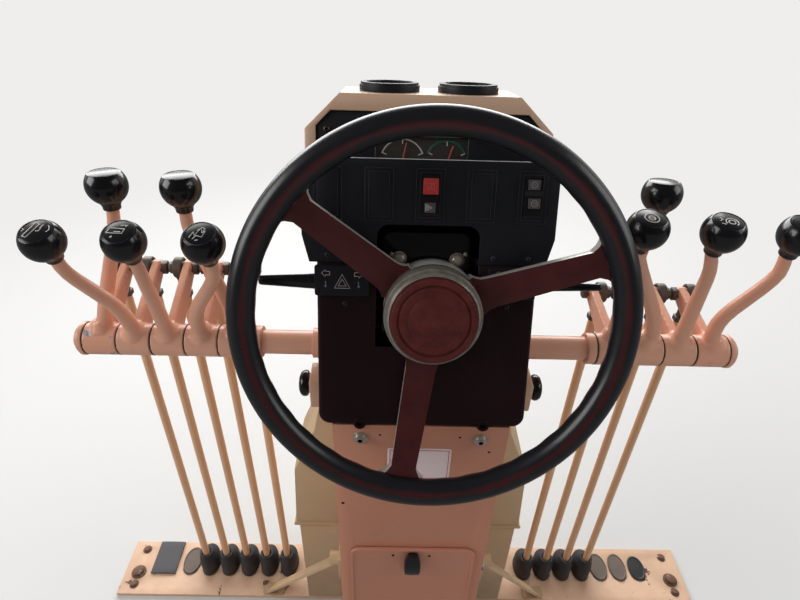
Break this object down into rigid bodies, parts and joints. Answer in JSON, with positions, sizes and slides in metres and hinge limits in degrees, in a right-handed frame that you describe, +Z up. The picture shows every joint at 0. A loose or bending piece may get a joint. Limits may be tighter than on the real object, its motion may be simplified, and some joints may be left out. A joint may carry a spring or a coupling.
{
  "type": "motor grader control console",
  "caption": "Cab control console of a motor grader: pedestal with steering wheel, instrument cowl and two banks of hand levers with floor rods.",
  "frame": {"origin": "middle of the floor strip's four bolt holes, on the strip's underside", "axes": "+X across the cab to the operator's right, +Y forward, away from the operator, +Z up"},
  "size_m": [1.24, 0.3634, 1.0759],
  "materials": {
    "tan_paint": "semi-gloss tan paint, worn at edges",
    "floor_paint": "dirty tan paint with rust",
    "black_plastic": "fine grained black plastic",
    "gloss_black": "polished black plastic",
    "boot_rubber": "dusty dark blue-grey rubber",
    "bare_steel": "dull steel",
    "dial_face": "matt dark brown",
    "dial_glass": "clear",
    "label_plate": "white, red edge",
    "wheel_grip": "black, worn to maroon",
    "spoke_paint": "worn maroon-brown over metal",
    "horn_vinyl": "grained maroon-brown"
  },
  "bodies": {
    "console": {"floor_plate": "floor_paint", "rod_boots": "boot_rubber", "hole_plugs": "boot_rubber", "floor_pad": "boot_rubber", "duct_base": "tan_paint", "duct_cover": "tan_paint", "pedestal": "tan_paint", "side_braces": "tan_paint", "console_shell": "tan_paint", "cowl": "tan_paint", "shroud": "black_plastic", "switch_panel": "black_plastic", "gauge_bezel": "black_plastic", "gauge_dials": "dial_face", "gauge_glass": "dial_glass", "air_vents": "black_plastic", "switch_rockers": "gloss_black", "column_bracket": "gloss_black", "steering_column": "bare_steel", "signal_boxes": "black_plastic", "stalks": "gloss_black", "lever_shaft": "tan_paint", "shaft_collars": "tan_paint", "clamp_knobs": "gloss_black", "fasteners": "bare_steel", "info_plate": "label_plate"},
    "steering": {"wheel_rim": "wheel_grip", "wheel_spokes": "spoke_paint", "horn_pad": "horn_vinyl"},
    "door": {"access_door": "tan_paint", "door_latch": "gloss_black"},
    "hand_lever_1": {"lever_1": "tan_paint", "knob_1": "gloss_black"},
    "control_rod_1": {"rod_1": "tan_paint"},
    "hand_lever_2": {"lever_2": "tan_paint", "knob_2": "gloss_black"},
    "control_rod_2": {"rod_2": "tan_paint"},
    "hand_lever_3": {"lever_3": "tan_paint", "knob_3": "gloss_black"},
    "control_rod_3": {"rod_3": "tan_paint"},
    "hand_lever_4": {"lever_4": "tan_paint", "knob_4": "gloss_black"},
    "control_rod_4": {"rod_4": "tan_paint"},
    "hand_lever_5": {"lever_5": "tan_paint", "knob_5": "gloss_black"},
    "control_rod_5": {"rod_5": "tan_paint"},
    "hand_lever_6": {"lever_6": "tan_paint", "knob_6": "gloss_black"},
    "control_rod_6": {"rod_6": "tan_paint"},
    "hand_lever_7": {"lever_7": "tan_paint", "knob_7": "gloss_black"},
    "control_rod_7": {"rod_7": "tan_paint"},
    "hand_lever_8": {"lever_8": "tan_paint", "knob_8": "gloss_black"},
    "control_rod_8": {"rod_8": "tan_paint"},
    "hand_lever_9": {"lever_9": "tan_paint", "knob_9": "gloss_black"},
    "control_rod_9": {"rod_9": "tan_paint"}
  },
  "joints": [
    {"name": "steering_turn", "type": "hinge", "parent": "console", "child": "steering", "pos_m": [0, -0.218, 0.873], "axis": [0, -0.9397, 0.342], "continuous": true},
    {"name": "door_swing", "type": "hinge", "parent": "console", "child": "door", "pos_m": [-0.006, -0.2222, 0.16], "axis": [1, 0, 0], "range_deg": [0, 100]},
    {"name": "lever_1_push", "type": "hinge", "parent": "console", "child": "hand_lever_1", "pos_m": [-0.4222, -0.102, 0.747], "axis": [1, 0, 0], "range_deg": [-8, 8], "stiffness_Nm_per_rad": 80},
    {"name": "rod_1_pivot", "type": "hinge", "parent": "hand_lever_1", "child": "control_rod_1", "pos_m": [-0.4352, 0, 0.796], "axis": [1, 0, 0], "range_deg": [-8, 8]},
    {"name": "lever_2_push", "type": "hinge", "parent": "console", "child": "hand_lever_2", "pos_m": [-0.3786, -0.102, 0.747], "axis": [1, 0, 0], "range_deg": [-8, 8], "stiffness_Nm_per_rad": 80},
    {"name": "rod_2_pivot", "type": "hinge", "parent": "hand_lever_2", "child": "control_rod_2", "pos_m": [-0.3916, 0, 0.796], "axis": [1, 0, 0], "range_deg": [-8, 8]},
    {"name": "lever_3_push", "type": "hinge", "parent": "console", "child": "hand_lever_3", "pos_m": [-0.335, -0.102, 0.747], "axis": [1, 0, 0], "range_deg": [-8, 8], "stiffness_Nm_per_rad": 80},
    {"name": "rod_3_pivot", "type": "hinge", "parent": "hand_lever_3", "child": "control_rod_3", "pos_m": [-0.348, 0, 0.796], "axis": [1, 0, 0], "range_deg": [-8, 8]},
    {"name": "lever_4_push", "type": "hinge", "parent": "console", "child": "hand_lever_4", "pos_m": [-0.2914, -0.102, 0.747], "axis": [1, 0, 0], "range_deg": [-8, 8], "stiffness_Nm_per_rad": 80},
    {"name": "rod_4_pivot", "type": "hinge", "parent": "hand_lever_4", "child": "control_rod_4", "pos_m": [-0.3044, 0, 0.796], "axis": [1, 0, 0], "range_deg": [-8, 8]},
    {"name": "lever_5_push", "type": "hinge", "parent": "console", "child": "hand_lever_5", "pos_m": [-0.2478, -0.102, 0.747], "axis": [1, 0, 0], "range_deg": [-8, 8], "stiffness_Nm_per_rad": 80},
    {"name": "rod_5_pivot", "type": "hinge", "parent": "hand_lever_5", "child": "control_rod_5", "pos_m": [-0.2608, 0, 0.796], "axis": [1, 0, 0], "range_deg": [-8, 8]},
    {"name": "lever_6_push", "type": "hinge", "parent": "console", "child": "hand_lever_6", "pos_m": [0.2478, -0.102, 0.747], "axis": [1, 0, 0], "range_deg": [-8, 8], "stiffness_Nm_per_rad": 80},
    {"name": "rod_6_pivot", "type": "hinge", "parent": "hand_lever_6", "child": "control_rod_6", "pos_m": [0.2608, 0, 0.77], "axis": [1, 0, 0], "range_deg": [-8, 8]},
    {"name": "lever_7_push", "type": "hinge", "parent": "console", "child": "hand_lever_7", "pos_m": [0.2914, -0.102, 0.747], "axis": [1, 0, 0], "range_deg": [-8, 8], "stiffness_Nm_per_rad": 80},
    {"name": "rod_7_pivot", "type": "hinge", "parent": "hand_lever_7", "child": "control_rod_7", "pos_m": [0.3044, 0, 0.77], "axis": [1, 0, 0], "range_deg": [-8, 8]},
    {"name": "lever_8_push", "type": "hinge", "parent": "console", "child": "hand_lever_8", "pos_m": [0.335, -0.102, 0.747], "axis": [1, 0, 0], "range_deg": [-8, 8], "stiffness_Nm_per_rad": 80},
    {"name": "rod_8_pivot", "type": "hinge", "parent": "hand_lever_8", "child": "control_rod_8", "pos_m": [0.348, 0, 0.77], "axis": [1, 0, 0], "range_deg": [-8, 8]},
    {"name": "lever_9_push", "type": "hinge", "parent": "console", "child": "hand_lever_9", "pos_m": [0.3786, -0.102, 0.747], "axis": [1, 0, 0], "range_deg": [-8, 8], "stiffness_Nm_per_rad": 80},
    {"name": "rod_9_pivot", "type": "hinge", "parent": "hand_lever_9", "child": "control_rod_9", "pos_m": [0.3916, 0, 0.77], "axis": [1, 0, 0], "range_deg": [-8, 8]}
  ],
  "couplings": [
    {"joint": "rod_1_pivot", "follows": "lever_1_push", "ratio": -0.9322},
    {"joint": "rod_2_pivot", "follows": "lever_2_push", "ratio": -0.9322},
    {"joint": "rod_3_pivot", "follows": "lever_3_push", "ratio": -0.9322},
    {"joint": "rod_4_pivot", "follows": "lever_4_push", "ratio": -0.9322},
    {"joint": "rod_5_pivot", "follows": "lever_5_push", "ratio": -0.9322},
    {"joint": "rod_6_pivot", "follows": "lever_6_push", "ratio": -0.967},
    {"joint": "rod_7_pivot", "follows": "lever_7_push", "ratio": -0.967},
    {"joint": "rod_8_pivot", "follows": "lever_8_push", "ratio": -0.967},
    {"joint": "rod_9_pivot", "follows": "lever_9_push", "ratio": -0.967}
  ]
}
